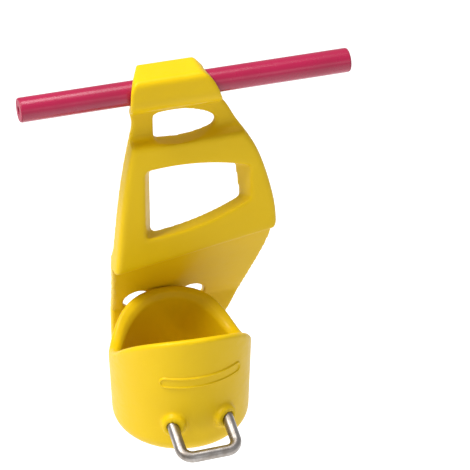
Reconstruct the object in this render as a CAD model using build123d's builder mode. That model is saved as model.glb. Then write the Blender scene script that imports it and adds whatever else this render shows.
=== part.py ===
"""Slide-along hanger: a moulded frame and cup that ride on a round bar.

Millimetres. Origin on the bar's axis at its left end, X along the bar, -Y the front, Z up.
"""
import os
from math import asin, cos, radians, sin, tan

from build123d import *

# ---- bar and the two plain bushes that run on it
bar_length = 340.0
bar_radius = 12.5
bar_wall = 2.0
plug_lip = 1.6
plug_depth = 14.0
plug_bore = 4.25
head_x = 156.0
bush_inner = 12.56
bush_outer = 14.6
bush_length = 22.0
bush_offset = 22.0

# ---- hanger: head, neck, windowed block, leaning web and back plate
head_half_depth = 21.0
head_top = 21.5
head_bore = 14.66
neck_front = 13.0
block_front = -1.0
hanger_back = 21.0
block_edge = 5.5
web_lean = 26.0
web_front_y = 17.0
web_front_z = -204.0
web_thickness = 10.0
back_plate_top = -296.0
back_plate_bottom = -372.0
vent_radius = 15.0
vent_left = (-27, -285)
vent_right = (34, -289)

# ---- cup
cup_x = -5.0
cup_y = -27.5
cup_floor_z = -384.0
cup_height = 156.0
cup_radius_low = 72.3
cup_radius_top = 77.2
cup_edge = 19.0
cup_wall = 14.0
cup_floor = 12.0
rim_yaw = 5.0
rim_bevel = 4.0
pad_half_width = 37.0
pad_low = -366.0
pad_high = -304.0

# ---- cup bolts
bolt_radius = 4.0
bolt_spacing = 36.0
bolt_z = -350.0
bolt_seat_y = 24.5
bolt_head_radius = 8.0
bolt_head_height = 5.5
bolt_nut_flats = 13.0
bolt_nut_height = 6.5
bolt_washer_radius = 9.0
washer_thickness = 1.6

# ---- wire loop
wire_radius = 6.0
loop_half_width = 29.6
loop_entry_y = -98.0
loop_entry_z = -342.0
loop_droop = 20.0
loop_reach = 42.0
loop_bend = 12.0
loop_inner_end = 57.0
loop_seat_depth = 38.0
collar_radius = 13.0
collar_height = 6.5
collar_round = 3.0
loop_nut_flats = 18.0
loop_nut_height = 8.0
loop_washer_radius = 11.0
loop_washer_thickness = 2.0

gap = 0.05
os.makedirs("parts", exist_ok=True)

# derived planes: all hanger shapes are drawn relative to the middle of the head
front_view = Plane(origin=(head_x, 0, 0), x_dir=(1, 0, 0), z_dir=(0, -1, 0))
side_view = Plane(origin=(head_x, 0, 0), x_dir=(0, 1, 0), z_dir=(1, 0, 0))
plan_view = Plane(origin=(head_x, 0, 0))
yaw = radians(rim_yaw)
rim_view = Plane(
    origin=(head_x + cup_x, cup_y, 0), x_dir=(sin(yaw), cos(yaw), 0), z_dir=(cos(yaw), -sin(yaw), 0)
)
cup_plane = Plane(origin=(head_x + cup_x, cup_y, cup_floor_z))
droop = radians(loop_droop)
collar_face = cup_radius_low + 1.3 + collar_height
collar_turn = asin(loop_half_width / collar_face)
loop_plane = Plane(
    origin=(head_x + cup_x, loop_entry_y, loop_entry_z),
    x_dir=(1, 0, 0),
    z_dir=(0, -cos(droop), -sin(droop)),
)

# ------------------------------------------------------------------ bar tube
with BuildPart() as bar_tube:
    with BuildSketch(Plane.YZ):
        Circle(bar_radius)
        Circle(bar_radius - bar_wall, mode=Mode.SUBTRACT)
    extrude(amount=bar_length)
bar_tube.part.label = "bar_tube"
export_step(bar_tube.part, "parts/bar_tube.step")

# ------------------------------------------------------------------ end plugs
plug_core = bar_radius - bar_wall - gap
with BuildPart() as bar_plug_left:
    with BuildSketch(Plane.YZ):
        Circle(plug_core)
    extrude(amount=plug_depth)
    with BuildSketch(Plane.YZ.offset(-plug_lip)):
        Circle(bar_radius - 0.4)
    extrude(amount=plug_lip)
    fillet(bar_plug_left.faces().sort_by(Axis.X)[0].edges(), 0.9)
    with BuildSketch(Plane.YZ.offset(-plug_lip)):
        Circle(plug_bore)
    extrude(amount=plug_lip + plug_depth, mode=Mode.SUBTRACT)
bar_plug_left.part.label = "bar_plug_left"
export_step(bar_plug_left.part, "parts/bar_plug_left.step")

with BuildPart() as bar_plug_right:
    with BuildSketch(Plane.YZ.offset(bar_length - plug_depth)):
        Circle(plug_core)
    extrude(amount=plug_depth)
    with BuildSketch(Plane.YZ.offset(bar_length)):
        Circle(bar_radius - 0.4)
    extrude(amount=plug_lip)
    fillet(bar_plug_right.faces().sort_by(Axis.X)[-1].edges(), 0.9)
    with BuildSketch(Plane.YZ.offset(bar_length - plug_depth)):
        Circle(plug_bore)
    extrude(amount=plug_lip + plug_depth, mode=Mode.SUBTRACT)
bar_plug_right.part.label = "bar_plug_right"
export_step(bar_plug_right.part, "parts/bar_plug_right.step")

# ------------------------------------------------------------------ slide bushes
with BuildPart() as slide_bushes:
    with BuildSketch(Plane.YZ.offset(head_x - bush_offset - bush_length / 2)):
        Circle(bush_outer)
        Circle(bush_inner, mode=Mode.SUBTRACT)
    extrude(amount=bush_length)
    with BuildSketch(Plane.YZ.offset(head_x + bush_offset - bush_length / 2)):
        Circle(bush_outer)
        Circle(bush_inner, mode=Mode.SUBTRACT)
    extrude(amount=bush_length)
slide_bushes.part.label = "slide_bushes"
export_step(slide_bushes.part, "parts/slide_bushes.step")

# ------------------------------------------------------------------ hanger
lean = radians(web_lean)
web_plane = Plane(
    origin=(head_x, web_front_y, web_front_z), x_dir=(1, 0, 0), z_dir=(0, -cos(lean), -sin(lean))
)
plate_front = web_front_y + (web_front_z - back_plate_top) * tan(lean)
plate_back = plate_front + web_thickness

with BuildPart() as hanger:
    # side profile of head, neck, shoulder and block
    with BuildSketch(side_view.offset(-72)) as profile:
        with BuildLine():
            back_and_top = Polyline(
                (hanger_back, -230), (hanger_back, head_top), (-head_half_depth, head_top),
                (-head_half_depth, 0),
            )
            barrel = CenterArc((0, 0), head_half_depth, 180, 68)
            Polyline(
                barrel @ 1, (neck_front, -31), (neck_front, -61), (block_front, -65.5),
                (block_front, -230), (hanger_back, -230),
            )
        make_face()
        fillet(profile.vertices().group_by(Axis.Y)[-1], 6.5)
        fillet(profile.vertices().filter_by_position(Axis.Y, -62, -60), 6)
    extrude(amount=190)
    # front outline, with the slanted lower edge of the block
    with BuildSketch(front_view.offset(60)):
        with BuildLine():
            right_top = Spline((24, head_top + 1), (38, 9), (48, -14), (58, -33))
            right_side = Spline(
                right_top @ 1, (70, -54), (84, -76), (97, -106), (107, -142), (112, -180),
                tangents=[right_top % 1, (0.05, -1)],
            )
            Polyline(right_side @ 1, (110, -187.5), (-64.5, -214))
            left_side = Spline((-64.5, -214), (-59.5, -170), (-52, -112), (-44.5, -72), (-40, -52))
            left_neck = Spline(left_side @ 1, (-42, -30), (-50, -8), (-49, 8), (-41, head_top + 1))
            Line(left_neck @ 1, (24, head_top + 1))
        make_face()
    extrude(amount=-120, mode=Mode.INTERSECT)
    # the head narrows towards the back, more so at its top
    with BuildSketch(plan_view.offset(-36)):
        Polygon((-70, -30), (-54, -30), (-40.5, 24), (-70, 24), align=None)
    with BuildSketch(plan_view.offset(30)):
        Polygon((-70, -30), (-52, -30), (-28, 24), (-70, 24), align=None)
    loft(mode=Mode.SUBTRACT)
    with BuildSketch(plan_view.offset(-26)):
        Polygon((62, -30), (80, -30), (80, 24), (57, 24), align=None)
    with BuildSketch(plan_view.offset(30)):
        Polygon((38, -30), (80, -30), (80, 24), (18, 24), align=None)
    loft(mode=Mode.SUBTRACT)
    # rounded front edge of the block
    block_rim = hanger.edges().filter_by_position(Axis.Y, block_front - 0.1, block_front + 0.1)
    fillet(block_rim, block_edge)
    # leaning web below the block and upright plate behind the cup
    with BuildSketch(web_plane):
        with BuildLine():
            web_right = Spline((110, 21), (106, -27), (99, -62), (90.5, -102.4))
            web_left = Spline((-54, -102.4), (-56.5, -66), (-60, -32), (-62.5, -4), (-58, 20))
            Line(web_right @ 1, web_left @ 0)
            Line(web_left @ 1, web_right @ 0)
        make_face()
    extrude(amount=-web_thickness)
    with BuildSketch(front_view.offset(-plate_front)) as plate:
        with BuildLine():
            Polyline(
                (-54, -295), (90.5, -295), (81, -314), (62, -346), (46, back_plate_bottom),
                (-44, back_plate_bottom), (-54, -345), (-54, -295),
            )
        make_face()
        fillet(plate.vertices().group_by(Axis.Y)[0], 9)
    extrude(amount=-web_thickness)
    # large window, flared towards the front
    with BuildSketch(front_view.offset(-block_front + 0.01)) as window_front:
        with BuildLine():
            Spline((-31, -93), (14, -91.5), (83, -105))
            Line((83, -105), (84, -144))
            Spline((84, -144), (38, -164), (-32, -174))
            Line((-32, -174), (-31, -93))
        make_face()
        fillet(window_front.vertices(), 5)
    with BuildSketch(front_view.offset(-hanger_back - 0.01)) as window_back:
        with BuildLine():
            Spline((-20, -103), (14, -102.5), (70.5, -111))
            Line((70.5, -111), (75.5, -152))
            Spline((75.5, -152), (38, -167), (-20, -178))
            Line((-20, -178), (-20, -103))
        make_face()
        fillet(window_back.vertices(), 6)
    loft(mode=Mode.SUBTRACT)
    # small window through the neck, its sill level with the shoulder
    with BuildSketch(front_view) as neck_window:
        with BuildLine():
            Line((-17, -37), (-17, -64))
            Spline((-17, -64), (13, -66.5), (45, -60))
            Spline((45, -60), (48.5, -52), (43, -44.5))
            Spline((43, -44.5), (28, -38), (6, -34.5), (-17, -37))
        make_face()
        fillet(neck_window.vertices(), 3.5)
    extrude(amount=-40, mode=Mode.SUBTRACT)
    # two round openings above the cup
    with BuildSketch(front_view.offset(-20)):
        with Locations(vent_left, vent_right):
            Circle(vent_radius)
    extrude(amount=-60, mode=Mode.SUBTRACT)
    # bolt holes and the bore of the head
    with BuildSketch(front_view.offset(-plate_front + 1)):
        with Locations((cup_x - bolt_spacing / 2, bolt_z), (cup_x + bolt_spacing / 2, bolt_z)):
            Circle(bolt_radius + 0.25)
    extrude(amount=-20, mode=Mode.SUBTRACT)
    with BuildSketch(side_view.offset(-80)):
        Circle(head_bore)
    extrude(amount=160, mode=Mode.SUBTRACT)
hanger.part.label = "hanger"
export_step(hanger.part, "parts/hanger.step")

# ------------------------------------------------------------------ cup
with BuildPart() as cup:
    with Locations(cup_plane):
        Cone(
            cup_radius_low, cup_radius_top, cup_height,
            align=(Align.CENTER, Align.CENTER, Align.MIN),
        )
    fillet(cup.edges().group_by(Axis.Z)[0], cup_edge)
    # flat pad against the back plate
    with BuildSketch(front_view.offset(-plate_front + gap)) as pad:
        with Locations((cup_x, (pad_low + pad_high) / 2)):
            RectangleRounded(2 * pad_half_width, pad_high - pad_low, 8)
    extrude(amount=30)
    # hollow
    with Locations(cup_plane.offset(cup_floor)):
        Cone(
            cup_radius_low - cup_wall + 0.2, cup_radius_top - cup_wall, cup_height - cup_floor,
            align=(Align.CENTER, Align.CENTER, Align.MIN), mode=Mode.SUBTRACT,
        )
    # saddle-shaped rim
    with BuildSketch(rim_view.offset(-100)):
        with BuildLine():
            rim_curve = Spline(
                (-84, -231.5), (-58, -246.5), (-30, -268), (0, -290.5), (20, -297), (48, -280.5), (84, -265)
            )
            Polyline(rim_curve @ 1, (84, -200), (-84, -200), rim_curve @ 0)
        make_face()
    extrude(amount=200, mode=Mode.SUBTRACT)
    rim_edges = cup.edges().filter_by(lambda edge: edge.center().Z > -297 and edge.length > 15)
    chamfer(rim_edges.filter_by(GeomType.LINE, reverse=True), rim_bevel)
    # bolt seats on the inside of the back wall
    with BuildSketch(front_view.offset(-bolt_seat_y)):
        with Locations((cup_x - bolt_spacing / 2, bolt_z), (cup_x + bolt_spacing / 2, bolt_z)):
            Circle(10)
    extrude(amount=-16)
    with BuildSketch(front_view):
        with Locations((cup_x - bolt_spacing / 2, bolt_z), (cup_x + bolt_spacing / 2, bolt_z)):
            Circle(bolt_radius + 0.25)
    extrude(amount=-70, mode=Mode.SUBTRACT)
    # collars where the wire enters, square to the wall, and nut seats inside
    for side in (-1, 1):
        with BuildSketch(Plane(
            origin=(
                head_x + cup_x + side * collar_face * sin(collar_turn),
                cup_y - collar_face * cos(collar_turn),
                loop_entry_z,
            ),
            z_dir=(side * sin(collar_turn), -cos(collar_turn), 0),
        )):
            Circle(collar_radius)
        extrude(amount=-(collar_height + 6))
    collar_rims = cup.edges().filter_by(GeomType.CIRCLE).sort_by(Axis.Y)[0:2]
    fillet(collar_rims, collar_round)
    with BuildSketch(loop_plane.offset(-loop_seat_depth)):
        with Locations((-loop_half_width, 0), (loop_half_width, 0)):
            Circle(loop_washer_radius + 1)
    extrude(amount=24)
    with BuildSketch(loop_plane.offset(12)):
        with Locations((-loop_half_width, 0), (loop_half_width, 0)):
            Circle(wire_radius + 0.1)
    extrude(amount=-60, mode=Mode.SUBTRACT)
cup.part.label = "cup"
export_step(cup.part, "parts/cup.step")

# ------------------------------------------------------------------ cup bolts, washers and nuts
bolt_left = head_x + cup_x - bolt_spacing / 2
bolt_right = head_x + cup_x + bolt_spacing / 2
inner_washer_y = bolt_seat_y - gap - washer_thickness
outer_washer_y = plate_back + gap

with BuildPart() as cup_bolts:
    with BuildSketch(Plane.XZ.offset(-inner_washer_y + gap)):
        with Locations((bolt_left, bolt_z), (bolt_right, bolt_z)):
            Circle(bolt_head_radius)
    extrude(amount=bolt_head_height)
    fillet(cup_bolts.edges().group_by(Axis.Y)[0], 2.6)
    with BuildSketch(Plane.XZ.offset(-inner_washer_y + gap + 1)):
        with Locations((bolt_left, bolt_z), (bolt_right, bolt_z)):
            Circle(bolt_radius)
    extrude(amount=-(outer_washer_y - inner_washer_y + bolt_nut_height + 5))
    with BuildSketch(Plane.XZ.offset(-inner_washer_y + bolt_head_height + gap)):
        with Locations((bolt_left, bolt_z), (bolt_right, bolt_z)):
            RegularPolygon(2.8, 6)
    extrude(amount=-3, mode=Mode.SUBTRACT)
cup_bolts.part.label = "cup_bolts"
export_step(cup_bolts.part, "parts/cup_bolts.step")

with BuildPart() as cup_washers:
    for washer_y in (inner_washer_y, outer_washer_y):
        with BuildSketch(Plane.XZ.offset(-washer_y)):
            with Locations((bolt_left, bolt_z), (bolt_right, bolt_z)):
                Circle(bolt_washer_radius)
                Circle(bolt_radius + 0.2, mode=Mode.SUBTRACT)
        extrude(amount=-washer_thickness)
cup_washers.part.label = "cup_washers"
export_step(cup_washers.part, "parts/cup_washers.step")

with BuildPart() as cup_nuts:
    with BuildSketch(Plane.XZ.offset(-(outer_washer_y + washer_thickness + gap))):
        with Locations((bolt_left, bolt_z), (bolt_right, bolt_z)):
            RegularPolygon(bolt_nut_flats / 2 / cos(radians(30)), 6)
            Circle(bolt_radius + gap, mode=Mode.SUBTRACT)
    extrude(amount=-bolt_nut_height)
cup_nuts.part.label = "cup_nuts"
export_step(cup_nuts.part, "parts/cup_nuts.step")

# ------------------------------------------------------------------ wire loop, washers and nuts
wire_start = loop_plane.offset(-loop_inner_end)
crossbar = loop_plane.offset(loop_reach)
with BuildPart() as wire_loop:
    with BuildLine() as loop_path:
        FilletPolyline(
            wire_start.from_local_coords((-loop_half_width, 0, 0)),
            crossbar.from_local_coords((-loop_half_width, 0, 0)),
            crossbar.from_local_coords((loop_half_width, 0, 0)),
            wire_start.from_local_coords((loop_half_width, 0, 0)),
            radius=loop_bend,
        )
    with BuildSketch(Plane(loop_path.line @ 0, z_dir=loop_path.line % 0)):
        Circle(wire_radius)
    sweep()
wire_loop.part.label = "wire_loop"
export_step(wire_loop.part, "parts/wire_loop.step")

with BuildPart() as loop_washers:
    with BuildSketch(loop_plane.offset(-loop_seat_depth - gap)):
        with Locations((-loop_half_width, 0), (loop_half_width, 0)):
            Circle(loop_washer_radius)
            Circle(wire_radius + 0.25, mode=Mode.SUBTRACT)
    extrude(amount=-loop_washer_thickness)
loop_washers.part.label = "loop_washers"
export_step(loop_washers.part, "parts/loop_washers.step")

with BuildPart() as loop_nuts:
    with BuildSketch(loop_plane.offset(-loop_seat_depth - 2 * gap - loop_washer_thickness)):
        with Locations((-loop_half_width, 0), (loop_half_width, 0)):
            RegularPolygon(loop_nut_flats / 2 / cos(radians(30)), 6)
            Circle(wire_radius + gap, mode=Mode.SUBTRACT)
    extrude(amount=-loop_nut_height)
loop_nuts.part.label = "loop_nuts"
export_step(loop_nuts.part, "parts/loop_nuts.step")
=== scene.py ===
import math
import bmesh
import bpy
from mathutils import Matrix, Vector


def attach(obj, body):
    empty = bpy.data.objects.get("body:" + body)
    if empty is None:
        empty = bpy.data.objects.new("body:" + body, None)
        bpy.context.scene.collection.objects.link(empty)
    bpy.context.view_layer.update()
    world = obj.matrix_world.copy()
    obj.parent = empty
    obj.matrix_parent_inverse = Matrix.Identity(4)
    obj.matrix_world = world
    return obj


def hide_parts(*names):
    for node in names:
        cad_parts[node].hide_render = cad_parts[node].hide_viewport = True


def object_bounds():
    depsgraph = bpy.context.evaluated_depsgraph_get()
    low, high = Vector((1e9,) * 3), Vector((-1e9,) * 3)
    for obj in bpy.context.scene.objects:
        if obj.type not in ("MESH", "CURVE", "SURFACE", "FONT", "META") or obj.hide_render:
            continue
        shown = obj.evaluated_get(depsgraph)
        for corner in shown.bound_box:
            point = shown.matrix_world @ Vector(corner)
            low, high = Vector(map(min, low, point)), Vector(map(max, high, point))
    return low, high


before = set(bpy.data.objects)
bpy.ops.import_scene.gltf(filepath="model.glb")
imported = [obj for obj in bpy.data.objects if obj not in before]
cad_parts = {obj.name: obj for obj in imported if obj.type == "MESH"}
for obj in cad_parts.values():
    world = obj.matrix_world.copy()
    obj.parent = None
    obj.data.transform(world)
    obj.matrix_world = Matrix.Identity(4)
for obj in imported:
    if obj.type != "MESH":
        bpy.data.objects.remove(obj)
cad_low, cad_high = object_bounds()

# ---------------------------------------------------------------- red bar
# A straight 25 mm steel tube, powder coated crimson. The tube is drawn, so
# faint lines run along it under the paint, and the gloss is a little uneven.
BAR_RED = (0.360, 0.003, 0.050, 1.0)
BAR_DARK = (0.270, 0.002, 0.032, 1.0)


def new_finish(name):
    finish = bpy.data.materials.new(name)
    finish.use_nodes = True
    nodes = finish.node_tree.nodes
    links = finish.node_tree.links
    shader = nodes["Principled BSDF"]
    where = nodes.new("ShaderNodeTexCoord")
    return finish, nodes, links, shader, where.outputs["Object"]


def stretched(nodes, links, place, scale):
    """The object's own coordinates, stretched or squeezed along each axis."""
    mapping = nodes.new("ShaderNodeMapping")
    mapping.inputs["Scale"].default_value = scale
    links.new(place, mapping.inputs["Vector"])
    return mapping.outputs["Vector"]


def speckle(nodes, links, place, scale, detail=3.0, roughness=0.55):
    noise = nodes.new("ShaderNodeTexNoise")
    noise.inputs["Scale"].default_value = scale
    noise.inputs["Detail"].default_value = detail
    noise.inputs["Roughness"].default_value = roughness
    links.new(place, noise.inputs["Vector"])
    return noise.outputs["Fac"]


def ramp(nodes, links, value, low, high, first, last):
    """Turns a value between low and high into one between first and last."""
    between = nodes.new("ShaderNodeMapRange")
    between.inputs["From Min"].default_value = low
    between.inputs["From Max"].default_value = high
    between.inputs["To Min"].default_value = first
    between.inputs["To Max"].default_value = last
    links.new(value, between.inputs["Value"])
    return between.outputs["Result"]


def two_tone(nodes, links, value, first, last):
    mix = nodes.new("ShaderNodeMix")
    mix.data_type = "RGBA"
    mix.inputs["A"].default_value = first
    mix.inputs["B"].default_value = last
    links.new(value, mix.inputs["Factor"])
    return mix.outputs["Result"]


def relief(nodes, links, shader, height, depth, strength=1.0, below=None):
    bump = nodes.new("ShaderNodeBump")
    bump.inputs["Distance"].default_value = depth
    bump.inputs["Strength"].default_value = strength
    links.new(height, bump.inputs["Height"])
    if below is not None:
        links.new(below, bump.inputs["Normal"])
    links.new(bump.outputs["Normal"], shader.inputs["Normal"])
    return bump.outputs["Normal"]


def dress(node, finish):
    """Puts a finish on a node that keeps its own shape."""
    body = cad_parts[node]
    if not body.material_slots:
        body.data.materials.append(finish)
    for material_slot in body.material_slots:
        material_slot.material = finish


bar_paint, nodes, links, shader, place = new_finish("bar_powder_coat")
drawn = stretched(nodes, links, place, (3.0, 60.0, 60.0))
lines = speckle(nodes, links, drawn, 14.0, 4.0)
cloud = speckle(nodes, links, place, 18.0, 3.0)
tone = ramp(nodes, links, cloud, 0.35, 0.7, 0.0, 0.55)
links.new(two_tone(nodes, links, tone, BAR_RED, BAR_DARK), shader.inputs["Base Color"])
links.new(ramp(nodes, links, cloud, 0.3, 0.7, 0.22, 0.33), shader.inputs["Roughness"])
peel = speckle(nodes, links, place, 1300.0, 2.0)
under = relief(nodes, links, shader, lines, 0.00012, 0.5)
relief(nodes, links, shader, peel, 0.00006, 0.6, under)
shader.inputs["Coat Weight"].default_value = 0.18
shader.inputs["Coat Roughness"].default_value = 0.22
dress("bar_tube", bar_paint)

# ---------------------------------------------------------------- end plugs
# Moulded plastic caps pressed into both ends of the tube, red like the bar
# and duller, each with a hole for the screw that holds the bar.
PLUG_RED = (0.36, 0.008, 0.05, 1.0)
PLUG_DARK = (0.28, 0.006, 0.038, 1.0)

plug_plastic, nodes, links, shader, place = new_finish("plug_plastic")
grain = speckle(nodes, links, place, 900.0, 3.0)
soft = speckle(nodes, links, place, 90.0, 2.0)
links.new(two_tone(nodes, links, soft, PLUG_RED, PLUG_DARK), shader.inputs["Base Color"])
links.new(ramp(nodes, links, soft, 0.3, 0.7, 0.45, 0.6), shader.inputs["Roughness"])
relief(nodes, links, shader, grain, 0.00008, 0.7)
dress("bar_plug_left", plug_plastic)
dress("bar_plug_right", plug_plastic)

# ---------------------------------------------------------------- bushes
# Two turned rings of pale nylon inside the hanger's head. They run on the
# bar, and the turning tool left fine rings on them.
NYLON = (0.72, 0.70, 0.62, 1.0)
NYLON_RUBBED = (0.60, 0.57, 0.49, 1.0)

bush_nylon, nodes, links, shader, place = new_finish("bush_nylon")
turned = stretched(nodes, links, place, (900.0, 4.0, 4.0))
rings = speckle(nodes, links, turned, 3.0, 2.0)
rubbed = speckle(nodes, links, place, 60.0, 3.0)
links.new(two_tone(nodes, links, rubbed, NYLON, NYLON_RUBBED), shader.inputs["Base Color"])
links.new(ramp(nodes, links, rubbed, 0.3, 0.7, 0.38, 0.55), shader.inputs["Roughness"])
relief(nodes, links, shader, rings, 0.00006, 0.6)
dress("slide_bushes", bush_nylon)

# ---------------------------------------------------------------- hanger
# One thick yellow moulding that hangs on the bar: head, neck, block with the
# hand window, leaning web and back plate. It comes out of a heated mould, so
# no edge is sharp and the skin has a soft, slightly rippled gloss.
YELLOW = (0.705, 0.468, 0.0015, 1.0)
YELLOW_DEEP = (0.645, 0.408, 0.0010, 1.0)
YELLOW_PALE = (0.740, 0.510, 0.018, 1.0)
MOULD_PULL = 0.5
HANGER_GRAIN = 0.0018
HANGER_ROUNDS = 5
HANGER_RIPPLE = 0.0009


def moulded(name, node, grain, rounds):
    """A copy of the node's solid as one even skin, its edges softened as in the mould."""
    skin = bmesh.new()
    skin.from_mesh(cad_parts[node].data)
    bmesh.ops.remove_doubles(skin, verts=skin.verts, dist=1e-6)
    raw = bpy.data.meshes.new(name + "_raw")
    skin.to_mesh(raw)
    skin.free()
    body = bpy.data.objects.new(name, raw)
    bpy.context.scene.collection.objects.link(body)
    even = body.modifiers.new("even_skin", "REMESH")
    even.mode = "VOXEL"
    even.voxel_size = grain
    rounding = body.modifiers.new("mould_rounding", "SMOOTH")
    rounding.factor = MOULD_PULL
    rounding.iterations = rounds
    depsgraph = bpy.context.evaluated_depsgraph_get()
    shape = bpy.data.meshes.new_from_object(body.evaluated_get(depsgraph))
    body.modifiers.clear()
    body.data = shape
    shape.name = name
    bpy.data.meshes.remove(raw)
    shape.materials.clear()
    for face in shape.polygons:
        face.use_smooth = True
    return body


def yellow_skin(name, ripple):
    """Moulded yellow plastic: cloudy depth of colour, fine peel, faint paler patches."""
    finish, nodes, links, shader, place = new_finish(name)
    cloud = speckle(nodes, links, place, 11.0, 3.0)
    rubbed = speckle(nodes, links, stretched(nodes, links, place, (1.0, 1.0, 3.2)), 70.0, 5.0, 0.65)
    tone = two_tone(nodes, links, ramp(nodes, links, cloud, 0.35, 0.7, 0.0, 0.4), YELLOW, YELLOW_DEEP)
    scuff = ramp(nodes, links, rubbed, 0.60, 0.75, 0.0, 0.35)
    worn = nodes.new("ShaderNodeMix")
    worn.data_type = "RGBA"
    links.new(scuff, worn.inputs["Factor"])
    links.new(tone, worn.inputs["A"])
    worn.inputs["B"].default_value = YELLOW_PALE
    links.new(worn.outputs["Result"], shader.inputs["Base Color"])
    links.new(ramp(nodes, links, rubbed, 0.35, 0.75, 0.36, 0.52), shader.inputs["Roughness"])
    peel = speckle(nodes, links, place, 850.0, 2.0)
    swell = speckle(nodes, links, place, 55.0, 2.0)
    under = relief(nodes, links, shader, swell, ripple, 0.6)
    relief(nodes, links, shader, peel, 0.00007, 0.5, under)
    shader.inputs["Specular IOR Level"].default_value = 0.24
    shader.inputs["IOR"].default_value = 1.40
    return finish


hanger_body = moulded("hanger_moulding", "hanger", HANGER_GRAIN, HANGER_ROUNDS)
hanger_body.data.materials.append(yellow_skin("hanger_yellow", HANGER_RIPPLE))
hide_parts("hanger")
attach(hanger_body, "carrier")

# ---------------------------------------------------------------- cup
# A separate round moulding in the same yellow, bolted to the hanger's back
# plate. Its wall is thick, its rim dips at the sides and is rounded all the
# way, and two low collars at the front take the wire.
CUP_GRAIN = 0.0017
CUP_ROUNDS = 4
CUP_RIPPLE = 0.0007

cup_body = moulded("cup_moulding", "cup", CUP_GRAIN, CUP_ROUNDS)
cup_body.data.materials.append(yellow_skin("cup_yellow", CUP_RIPPLE))
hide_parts("cup")
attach(cup_body, "carrier")

# ---------------------------------------------------------------- plain panel
# A blank panel moulded on the cup's front, under the lip: a long shape with
# round ends and a low raised rim. It follows the wall's curve and is one
# skin with the cup.
CUP_AXIS = Vector((0.151, -0.0275))
CUP_UNDERSIDE = -0.384
CUP_HEIGHT = 0.156
CUP_LOW_RADIUS = 0.0723
CUP_WIDENING = 0.0049
PANEL_MIDDLE = math.radians(-87.0)
PANEL_HALF_ARC = 0.0480
PANEL_HALF_HEIGHT = 0.0068
PANEL_LEVEL = -0.2890
PANEL_BEND = 0.0757
PANEL_RIM = 0.0027
PANEL_PROUD = 0.0006
PANEL_SUNK = 0.0003
RIM_PROUD = 0.0015
PANEL_COLUMNS = 190
PANEL_ROWS = 36


def wall_radius(height):
    """The cup's outer wall, a cone that widens a little towards the top."""
    return CUP_LOW_RADIUS + (height - CUP_UNDERSIDE) * CUP_WIDENING / CUP_HEIGHT


def plain_panel(name, columns, rows):
    skin = bmesh.new()
    straight = PANEL_HALF_ARC - PANEL_HALF_HEIGHT
    grid = []
    for i in range(columns + 1):
        along = PANEL_HALF_ARC * (-1.0 + 2.0 * i / columns)
        past = max(0.0, abs(along) - straight)
        tall = math.sqrt(max(0.0, PANEL_HALF_HEIGHT ** 2 - past ** 2))
        line = []
        for j in range(rows + 1):
            across = tall * (-1.0 + 2.0 * j / rows)
            inside = PANEL_HALF_HEIGHT - math.hypot(past, across)
            over = max(0.0, min(1.0, inside / PANEL_RIM))
            proud = RIM_PROUD * math.sin(math.pi * over) + PANEL_PROUD * over - PANEL_SUNK
            height = PANEL_LEVEL + across
            radius = wall_radius(height) + proud
            turn = PANEL_MIDDLE + along / PANEL_BEND
            line.append(skin.verts.new((
                CUP_AXIS.x + radius * math.cos(turn), CUP_AXIS.y + radius * math.sin(turn), height)))
        grid.append(line)
    for i in range(columns):
        for j in range(rows):
            skin.faces.new((grid[i][j], grid[i + 1][j], grid[i + 1][j + 1], grid[i][j + 1]))
    bmesh.ops.remove_doubles(skin, verts=skin.verts, dist=1e-6)
    bmesh.ops.recalc_face_normals(skin, faces=skin.faces)
    shape = bpy.data.meshes.new(name)
    skin.to_mesh(shape)
    skin.free()
    for face in shape.polygons:
        face.use_smooth = True
    body = bpy.data.objects.new(name, shape)
    bpy.context.scene.collection.objects.link(body)
    return body


blank_panel = plain_panel("cup_blank_panel", PANEL_COLUMNS, PANEL_ROWS)
blank_panel.data.materials.append(cup_body.data.materials[0])
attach(blank_panel, "carrier")

# ---------------------------------------------------------------- wire loop
# Bright steel rod of 12 mm, bent cold into a U. It has fine lines from
# drawing and a few dull stains, and its ends go through the collars.
STEEL_BRIGHT = (0.45, 0.425, 0.41, 1.0)
STEEL_STAIN = (0.22, 0.19, 0.165, 1.0)

loop_steel, nodes, links, shader, place = new_finish("loop_steel")
drawn = speckle(nodes, links, stretched(nodes, links, place, (40.0, 4.0, 40.0)), 20.0, 4.0)
stain = speckle(nodes, links, place, 48.0, 4.0, 0.6)
links.new(two_tone(nodes, links, ramp(nodes, links, stain, 0.42, 0.68, 0.0, 1.0),
                   STEEL_BRIGHT, STEEL_STAIN), shader.inputs["Base Color"])
links.new(ramp(nodes, links, stain, 0.3, 0.7, 0.28, 0.44), shader.inputs["Roughness"])
relief(nodes, links, shader, drawn, 0.00008, 0.5)
shader.inputs["Metallic"].default_value = 1.0
dress("wire_loop", loop_steel)

# ---------------------------------------------------------------- fasteners
# Zinc plated bolts, nuts and washers that hold the cup to the back plate and
# the wire in the cup. The plating is dull and a little cloudy.
ZINC_LIGHT = (0.62, 0.62, 0.60, 1.0)
ZINC_DARK = (0.46, 0.46, 0.45, 1.0)

zinc, nodes, links, shader, place = new_finish("zinc_plating")
cloud = speckle(nodes, links, place, 220.0, 4.0, 0.6)
links.new(two_tone(nodes, links, cloud, ZINC_LIGHT, ZINC_DARK), shader.inputs["Base Color"])
links.new(ramp(nodes, links, cloud, 0.3, 0.7, 0.30, 0.48), shader.inputs["Roughness"])
relief(nodes, links, shader, speckle(nodes, links, place, 1500.0, 2.0), 0.00004, 0.6)
shader.inputs["Metallic"].default_value = 1.0
for fastener in ("cup_bolts", "cup_washers", "cup_nuts", "loop_washers", "loop_nuts"):
    dress(fastener, zinc)

# ---------------------------------------------------------------- floor
# A plain pale sheet of paper, well below the hanging part. It glows a little
# so that it stays pale under the soft light.
FLOOR_DROP = 0.30
FLOOR_HALF_WIDTH = 12.0
FLOOR_GLOW = 0.30

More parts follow.
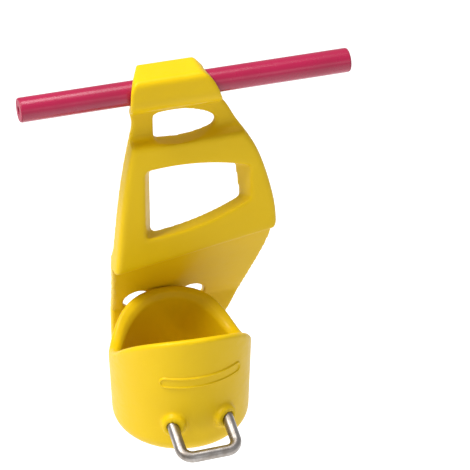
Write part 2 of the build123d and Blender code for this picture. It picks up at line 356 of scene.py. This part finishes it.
floor_skin = bmesh.new()
bmesh.ops.create_grid(floor_skin, x_segments=1, y_segments=1, size=FLOOR_HALF_WIDTH)
floor_mesh = bpy.data.meshes.new("floor")
floor_skin.to_mesh(floor_mesh)
floor_skin.free()
floor = bpy.data.objects.new("floor", floor_mesh)
floor.location = (0.0, 0.0, cad_low.z - FLOOR_DROP)
bpy.context.scene.collection.objects.link(floor)
floor_paper, nodes, links, shader, place = new_finish("floor_paper")
shader.inputs["Base Color"].default_value = (0.95, 0.95, 0.95, 1.0)
shader.inputs["Emission Color"].default_value = (1.0, 1.0, 1.0, 1.0)
shader.inputs["Emission Strength"].default_value = FLOOR_GLOW
shader.inputs["Roughness"].default_value = 0.85
shader.inputs["Specular IOR Level"].default_value = 0.15
floor_mesh.materials.append(floor_paper)

# ---------------------------------------------------------------- light
# White room light, a large soft lamp high on the left, one straight above,
# and a weak one in front on the right.
TARGET = Vector((0.2212, 0.0, -0.1868))
ROOM_LIGHT = 0.44


def softbox(name, place, width, height, watts):
    lamp = bpy.data.lights.new(name, "AREA")
    lamp.shape = "RECTANGLE"
    lamp.size = width
    lamp.size_y = height
    lamp.energy = watts
    holder = bpy.data.objects.new(name, lamp)
    holder.location = place
    holder.rotation_mode = "QUATERNION"
    holder.rotation_quaternion = (TARGET - Vector(place)).to_track_quat("-Z", "Y")
    bpy.context.scene.collection.objects.link(holder)


softbox("key_left", (-1.2, -0.2, 1.9), 0.8, 0.8, 70.0)
softbox("top_fill", (0.2, 0.1, 2.2), 1.0, 1.0, 20.0)
softbox("front_fill", (0.9, -2.4, 0.6), 0.9, 0.9, 3.0)
room = bpy.data.worlds.new("room")
room.use_nodes = True
room.node_tree.nodes["Background"].inputs["Color"].default_value = (1.0, 1.0, 1.0, 1.0)
room.node_tree.nodes["Background"].inputs["Strength"].default_value = ROOM_LIGHT
bpy.context.scene.world = room
bpy.context.scene.view_settings.view_transform = "Standard"

# ---------------------------------------------------------------- camera
# A long lens that looks down on the part from the front left, with no
# shift and no depth of field.
LENS_LENGTH = 183.8
CAMERA_PLACE = Vector((-0.4355, -2.0212, 1.1411))

lens = bpy.data.cameras.new("camera")
lens.lens = LENS_LENGTH
lens.sensor_width = 36.0
lens.clip_start = 0.05
lens.clip_end = 60.0
camera = bpy.data.objects.new("camera", lens)
camera.location = CAMERA_PLACE
camera.rotation_mode = "QUATERNION"
camera.rotation_quaternion = (TARGET - CAMERA_PLACE).to_track_quat("-Z", "Y")
bpy.context.scene.collection.objects.link(camera)
bpy.context.scene.camera = camera
